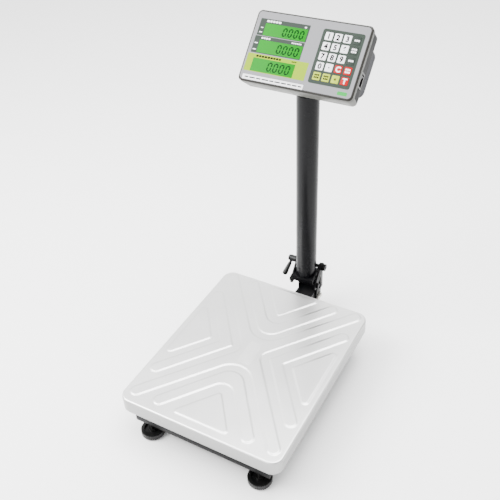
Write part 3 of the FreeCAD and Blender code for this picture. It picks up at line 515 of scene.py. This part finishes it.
def platter_piece():
    """The pressed stainless cover: ribbed top, rolled rim, skirt with a turned-in hem, with painted shade on the
    skirt.
    """
    low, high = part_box("platter_cover")
    centre = (low + high) / 2
    half_w, half_d = (high.x - low.x) / 2 / MM, (high.y - low.y) / 2 / MM
    rim, sheet = RIM_R, SHEET_T
    top = high.z / MM - RIB_H
    bottom = low.z / MM
    xs, ys = grid_lines(half_w - rim, CORNER_R - rim), grid_lines(half_d - rim, CORNER_R - rim)
    radius = CORNER_R - rim
    inner_x, inner_y = half_w - rim - radius, half_d - rim - radius
    gx, gy = np.meshgrid(np.array(xs), np.array(ys), indexing="ij")
    a = np.clip((np.abs(gx) - inner_x) / radius, 0, 1)
    b = np.clip((np.abs(gy) - inner_y) / radius, 0, 1)
    both = (a > 0) & (b > 0)
    px = np.where(both, np.sign(gx) * (inner_x + radius * a * np.sqrt(1 - b * b / 2)), gx)
    py = np.where(both, np.sign(gy) * (inner_y + radius * b * np.sqrt(1 - a * a / 2)), gy)
    pz = top + rib_heights(px.ravel(), py.ravel() - PRESS_SHIFT_Y, RIB_H).reshape(px.shape)
    bm = bmesh.new()

    def vert(x, y, z):
        return bm.verts.new((centre.x + x * MM, centre.y + y * MM, z * MM))
    nx, ny = px.shape
    sheet_top = [[vert(px[i, j], py[i, j], pz[i, j]) for j in range(ny)] for i in range(nx)]
    for i in range(nx - 1):
        for j in range(ny - 1):
            bm.faces.new((sheet_top[i][j], sheet_top[i + 1][j], sheet_top[i + 1][j + 1], sheet_top[i][j + 1]))
    edge = ([(i, 0) for i in range(nx - 1)] + [(nx - 1, j) for j in range(ny - 1)]
            + [(i, ny - 1) for i in range(nx - 1, 0, -1)] + [(0, j) for j in range(ny - 1, 0, -1)])
    border = [(px[i, j], py[i, j]) for i, j in edge]
    outward = []
    for x, y in border:
        dx = x - max(-inner_x, min(inner_x, x))
        dy = y - max(-inner_y, min(inner_y, y))
        length = math.hypot(dx, dy)
        outward.append((dx / length, dy / length))
    profile = [(rim * math.sin(t), top - rim * (1 - math.cos(t))) for t in
               (k * math.pi / 16 for k in range(1, 9))]
    profile += [(rim, bottom + 3.0), (rim - 0.15, bottom + 2.2), (rim - 0.05, bottom + 1.0),
                (rim - 0.35, bottom + 0.3), (rim - 0.9, bottom), (rim - 1.6, bottom + 0.4),
                (rim - 1.7, bottom + 3.0)]
    profile += [(rim - sheet, bottom + 4.5), (rim - sheet, top - rim)]
    previous = [sheet_top[i][j] for i, j in edge]
    for offset, z in profile:
        ring = [vert(x + n[0] * offset, y + n[1] * offset, z) for (x, y), n in zip(border, outward)]
        bridge(bm, ring, previous)
        previous = ring
    under = [vert(x, y, top - sheet) for x, y in border]
    bridge(bm, under, previous)
    bm.faces.new(under)
    piece = mesh_object("platter_sheet", bm, MATERIALS["stainless"], "platter", 50)
    piece.data.materials.append(MATERIALS["skirt_painted_shade"])
    # Faces that hardly rise get the darker copy of the steel: painted shade on the skirt
    for face in piece.data.polygons:
        if abs(face.normal.z) < SKIRT_NORMAL:
            face.material_index = 1
    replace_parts(piece, "platter_cover")
    place = Matrix.Translation((centre.x, centre.y, 0)) @ Matrix.Scale(MM, 4)
    pad = prism(rect_loop(-16, 16, -32, 40, 1.5), [], top + RIB_H - 0.3, top + RIB_H + 0.12, place, 0.08)
    mesh_object("platter_label", pad, MATERIALS["sticker"], "platter", 30)


# ---------------------------------------------------------------- head

OUT = -Vector(JOINTS["press_key_1"]["axis"]).normalized()
UP = OUT.cross(X)
FACE_CENTRE = centre_of("face_film") - OUT * 0.25 * MM
HEAD = Matrix.Translation(FACE_CENTRE) @ Matrix((X, UP, OUT)).transposed().to_4x4() @ Matrix.Scale(MM, 4)
TO_HEAD = HEAD.inverted()


def key_spot(node):
    """A key's centre on the face, in head coordinates."""
    spot = TO_HEAD @ centre_of(node)
    return spot.x, spot.y


KEY_NODES = sorted(n for n in CAD_NODES if n.startswith("key_"))


def key_hole(node):
    """The outline of a sheet's hole round one key."""
    x, y = key_spot(node)
    return rect_loop(x - KEY_W / 2 - KEY_CLEAR, x + KEY_W / 2 + KEY_CLEAR, y - KEY_H / 2 - KEY_CLEAR,
                     y + KEY_H / 2 + KEY_CLEAR, KEY_HOLE_R)


def front_shell():
    """The front shell with softened edges: a rim line darkened by painted shade, and mid-grey walls."""
    piece = bevelled("head_front_shell", 0.7, MATERIALS["wall_grey"])
    piece.data.materials.append(MATERIALS["rim_painted_shade"])
    # Faces near the front get the near-black rim finish as painted shade
    for face in piece.data.polygons:
        if (TO_HEAD @ face.center).z > -3.2:
            face.material_index = 1


def film_piece():
    """The printed film on the face, with a hole for each key."""
    low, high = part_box("face_film")
    half_w = (high.x - low.x) / 2 / MM
    half_h = half_w - 51.6
    holes = [key_hole(node) for node in KEY_NODES]
    bm = prism(rect_loop(-half_w, half_w, -half_h, half_h, 7.5), holes, 0.0, FILM_TOP, HEAD)
    piece = mesh_object("face_print", bm, MATERIALS["film"], "head", 30)
    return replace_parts(piece, "face_film")


def printed(name, outline, holes, level, material):
    """A printed or laid-on layer on the face, by its level above the film."""
    z = FILM_TOP + 0.10 * level
    bm = prism(outline, holes, z, z + 0.10, HEAD)
    return mesh_object(name, bm, MATERIALS[material], "head", 30)


def display_rects():
    """The displays' rectangles in head coordinates, from top to bottom."""
    rects = []
    for group in islands("lcd_windows"):
        spots = [TO_HEAD @ p for p in group]
        xs, ys = [s.x for s in spots], [s.y for s in spots]
        rects.append((min(xs), max(xs), min(ys), max(ys)))
    return sorted(rects, key=lambda r: -r[2])


def seven_segment(bm, x, y, width, height, thick, slant, shown, z0, z1):
    """Add one seven-segment digit whose lower left corner is x, y."""
    half = height / 2
    gap = thick * 0.12

    def bar(x0, y0, x1, y1):
        along = Vector((x1 - x0, y1 - y0)).normalized()
        across = Vector((-along.y, along.x)) * thick / 2
        start, end = Vector((x0, y0)) + along * gap, Vector((x1, y1)) - along * gap
        points = [start, start + along * thick / 2 + across, end - along * thick / 2 + across, end,
                  end - along * thick / 2 - across, start + along * thick / 2 - across]
        loop = [(x + p.x + p.y * slant, y + p.y) for p in reversed(points)]
        add_prism(bm, loop, [], z0, z1, HEAD)
    t = thick / 2
    bars = {"a": (t, height - t, width - t, height - t), "b": (width - t, half, width - t, height - t),
            "c": (width - t, t, width - t, half), "d": (t, t, width - t, t), "e": (t, t, t, half),
            "f": (t, half, t, height - t), "g": (t, half, width - t, half)}
    for letter in shown:
        bar(*bars[letter])


def displays():
    """Three lit displays in their printed panels, each showing a zero reading."""
    rects = display_rects()
    bm_lcd = bmesh.new()
    bm_ink = bmesh.new()
    for k, (rect, panel) in enumerate(zip(rects, PANELS)):
        x0, x1, y0, y1 = rect
        outline = rect_loop(panel[0], panel[1], panel[2], panel[3], 1.2)
        printed(f"panel_{k + 1}", outline, [], 0, panel[4])
        add_prism(bm_lcd, rect_loop(x0, x1, y0, y1, 0.6), [], FILM_TOP + 0.05, FILM_TOP + 0.35, HEAD, 0.12)
        height = (y1 - y0) * 0.70
        width, pitch = height * 0.52, height * 0.69
        right = x1 - (6.0 if k < 2 else 9.0)
        base = y0 + (y1 - y0) * 0.13
        for digit in range(4):
            x = right - width - pitch * (3 - digit) - 1.2
            seven_segment(bm_ink, x, base, width, height, DIGIT_THICK, DIGIT_SLANT, "abcdef",
                          INK_LOW, INK_HIGH)
        dot = right - pitch * 3 - 0.1
        add_prism(bm_ink, rect_loop(dot, dot + 1.9, base - 0.2, base + 1.7, 0.4), [], INK_LOW, INK_HIGH, HEAD)
    lcd = mesh_object("display_faces", bm_lcd, MATERIALS["lcd"], "head", 30)
    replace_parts(lcd, "lcd_windows", "lcd_modules")
    mesh_object("display_digits", bm_ink, MATERIALS["lcd_ink"], "head", 30)


def dashes(name, spans, y, height, material, level=1):
    """A row of small printed bars that stands for a label: spans are (x0, x1)."""
    bm = bmesh.new()
    z = FILM_TOP + 0.10 * level
    for x0, x1 in spans:
        outline = rect_loop(x0, x1, y - height / 2, y + height / 2, min(height, x1 - x0) * 0.3)
        add_prism(bm, outline, [], z, z + 0.06, HEAD)
    return mesh_object(name, bm, MATERIALS[material], "head", 30)


def word(start, sizes, gap=1.0):
    """Bar spans of the given widths, one after another."""
    spans = []
    for size in sizes:
        spans.append((start, start + size))
        start += size + gap
    return spans


def face_prints():
    """The keypad's printed ground, its hatch, the label bars and the lower strip."""
    xs = [key_spot(n)[0] for n in KEY_NODES]
    ys = [key_spot(n)[1] for n in KEY_NODES]
    x0, x1 = min(xs) - 15.4, max(xs) + 14.6
    y0, y1 = min(ys) - 15.8, max(ys) + 14.9
    holes = [key_hole(node) for node in KEY_NODES]
    printed("keypad_ground", rect_loop(x0, x1, y0, y1, 5.0), holes, 0, "panel_dark")
    printed("lower_strip", rect_loop(-120.4, 21.2, -74.9, -64.4, 1.0), [], 0, "print_white")
    dashes("strip_marks", word(-115, (9, 14, 11, 16, 10, 13, 12, 9, 11, 8), 2.2), -69.6, 2.6, "print_dark")
    dashes("title_1", word(-103, (6.2, 5.2, 5.6, 5.2, 6.2), 1.2), 55.6, 4.2, "print_white")
    dashes("title_2", word(-104, (4.6, 4.2, 4.8, 4.4), 1.0), 17.7, 3.6, "print_white")
    title = word(-103, (5.6, 5.2, 5.6, 6.2, 5.6, 5.6, 5.2, 5.6, 5.0), 1.1)
    dashes("title_3", title, -21.9, 4.2, "print_dark")
    dashes("unit_1", [(-14.5, -9.8)], 54.2, 2.8, "print_white")
    dashes("unit_2", word(-33, (3.0, 3.0, 3.0, 3.0, 3.0, 3.0), 0.9), 17.4, 2.6, "print_white")
    dashes("unit_3", word(-20, (3.0, 3.0, 3.0), 0.9), -21.6, 2.6, "print_dark")
    dashes("side_1", [(-113, -107.5)], 40.0, 1.6, "print_white")
    dashes("side_2", [(-114, -107)], 30.0, 2.0, "print_white")
    dashes("side_3", [(-116.5, -109)], 5.5, 2.0, "print_white")
    dashes("side_4", [(-116.5, -109)], -8.5, 2.0, "print_white")
    dashes("corner_mark", [(96.5, 117.5)], -67.0, 7.5, "print_green", 0)


def text_piece(name, text, size, bold, centre, level, material, body):
    """A flat legend as a thin solid, centred on a point of the face."""
    curve = bpy.data.curves.new(name, "FONT")
    curve.body = text
    curve.size = size * MM
    curve.align_x = "CENTER"
    curve.align_y = "CENTER"
    curve.offset = bold * MM
    curve.extrude = 0.04 * MM
    curve.resolution_u = 6
    holder = bpy.data.objects.new(name + "_curve", curve)
    bpy.context.scene.collection.objects.link(holder)
    bpy.context.view_layer.update()
    mesh = bpy.data.meshes.new_from_object(holder.evaluated_get(bpy.context.evaluated_depsgraph_get()))
    bpy.data.objects.remove(holder)
    xs = [v.co.x for v in mesh.vertices]
    ys = [v.co.y for v in mesh.vertices]
    middle = Vector(((min(xs) + max(xs)) / 2, (min(ys) + max(ys)) / 2, 0))
    place = HEAD @ Matrix.Translation((centre[0], centre[1], level)) @ Matrix.Scale(1 / MM, 4)
    mesh.transform(place @ Matrix.Translation(-middle))
    mesh.name = name
    mesh.materials.clear()
    mesh.materials.append(MATERIALS[material])
    piece = bpy.data.objects.new(name, mesh)
    bpy.context.scene.collection.objects.link(piece)
    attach(piece, body)
    return piece


def key_cap(node):
    """One key: a soft-edged cap with its legend."""
    x, y = key_spot(node)
    finish = frame_slot(node)
    bm = prism(rect_loop(x - KEY_W / 2, x + KEY_W / 2, y - KEY_H / 2, y + KEY_H / 2, 1.5, 0.4), [], -4.8, 1.0,
               HEAD, 0.45)
    cap = mesh_object(node + "_cap", bm, MATERIALS[finish], node, 30)
    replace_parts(cap, node)
    legend = LEGENDS.get(node, node[4:] if node[4:].isdigit() else None)
    ink = "print_dark" if finish in ("key_white", "key_yellow") else "print_white"
    if legend:
        size = {".": 22.0, "*": 13.0}.get(legend, 15.5)
        bold = 0.2 if legend in ".*" else 0.7
        text_piece(node + "_legend", legend, size, bold, (x, y), 1.02, ink, node)
        return
    bm = bmesh.new()
    rows = (2.7, -2.7) if finish != "key_dark" or node == "key_total" else (0.0,)
    for row in rows:
        for k in range(3):
            left = x - 5.4 + k * MARK_PITCH
            outline = rect_loop(left, left + MARK_W, y + row - MARK_HALF_H, y + row + MARK_HALF_H, 0.6)
            add_prism(bm, outline, [], 1.0, 1.06, HEAD)
    mesh_object(node + "_legend", bm, MATERIALS[ink], node, 30)


def frame_slot(node):
    """The record's material slot of a node."""
    return next(part["material_slot"] for part in frame["record"]["subparts"] if part["node"] == node)


# ---------------------------------------------------------------- stage

def stage():
    """A pale floor and a soft studio."""
    bm = bmesh.new()
    bmesh.ops.create_grid(bm, x_segments=8, y_segments=8, size=14)
    mesh = bpy.data.meshes.new("floor")
    bm.to_mesh(mesh)
    bm.free()
    mesh.materials.append(MATERIALS["floor"])
    floor = bpy.data.objects.new("floor", mesh)
    bpy.context.scene.collection.objects.link(floor)
    world = bpy.context.scene.world or bpy.data.worlds.new("studio")
    bpy.context.scene.world = world
    world.use_nodes = True
    world.node_tree.nodes["Background"].inputs["Color"].default_value = (1, 1, 1, 1)
    sky = world.node_tree
    coord = sky.nodes.new("ShaderNodeTexCoord")
    side = sky.nodes.new("ShaderNodeVectorMath")
    side.operation = "DOT_PRODUCT"
    side.inputs[1].default_value = BRIGHT_SIDE
    sky.links.new(coord.outputs["Generated"], side.inputs[0])
    strength = spread(sky, side.outputs["Value"], SKY_BRIGHT, SKY_DIM, -0.5, 0.6)
    sky.links.new(strength, sky.nodes["Background"].inputs["Strength"])
    for name, place, size, power in LAMPS:
        light = bpy.data.lights.new(name, "AREA")
        light.size = size
        light.energy = power
        lamp = bpy.data.objects.new(name, light)
        bpy.context.scene.collection.objects.link(lamp)
        lamp.location = place
        lamp.rotation_euler = (Vector((0, 0, 0.3)) - Vector(place)).to_track_quat("-Z", "Y").to_euler()


def add_camera():
    """The camera, placed from the platter's middle."""
    low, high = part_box("platter_cover")
    platter = Vector(((low.x + high.x) / 2, (low.y + high.y) / 2, high.z - RIB_H * MM))
    a, b, c = (math.radians(v) for v in (CAMERA_AZIMUTH, CAMERA_ELEVATION, CAMERA_ROLL))
    back = Vector((math.sin(a) * math.cos(b), -math.cos(a) * math.cos(b), math.sin(b)))
    right = Vector((math.cos(a), math.sin(a), 0))
    up = back.cross(right)
    level_right = right * math.cos(c) + up * math.sin(c)
    level_up = up * math.cos(c) - right * math.sin(c)
    data = bpy.data.cameras.new("camera")
    data.lens = CAMERA_LENS
    data.sensor_width = 36
    data.clip_end = 50
    camera = bpy.data.objects.new("camera", data)
    bpy.context.scene.collection.objects.link(camera)
    rotation = Matrix((level_right, level_up, back)).transposed().to_4x4()
    camera.matrix_world = Matrix.Translation(platter + CAMERA_FROM_PLATTER) @ rotation
    bpy.context.scene.camera = camera


finish_cad_nodes()
add_camera()
stage()
platter_piece()
front_shell()
film_piece()
displays()
face_prints()
for key_node in KEY_NODES:
    key_cap(key_node)
for steel_node, round_by in EDGE_ROUND.items():
    bevelled(steel_node, round_by, MATERIALS[frame_slot(steel_node)])
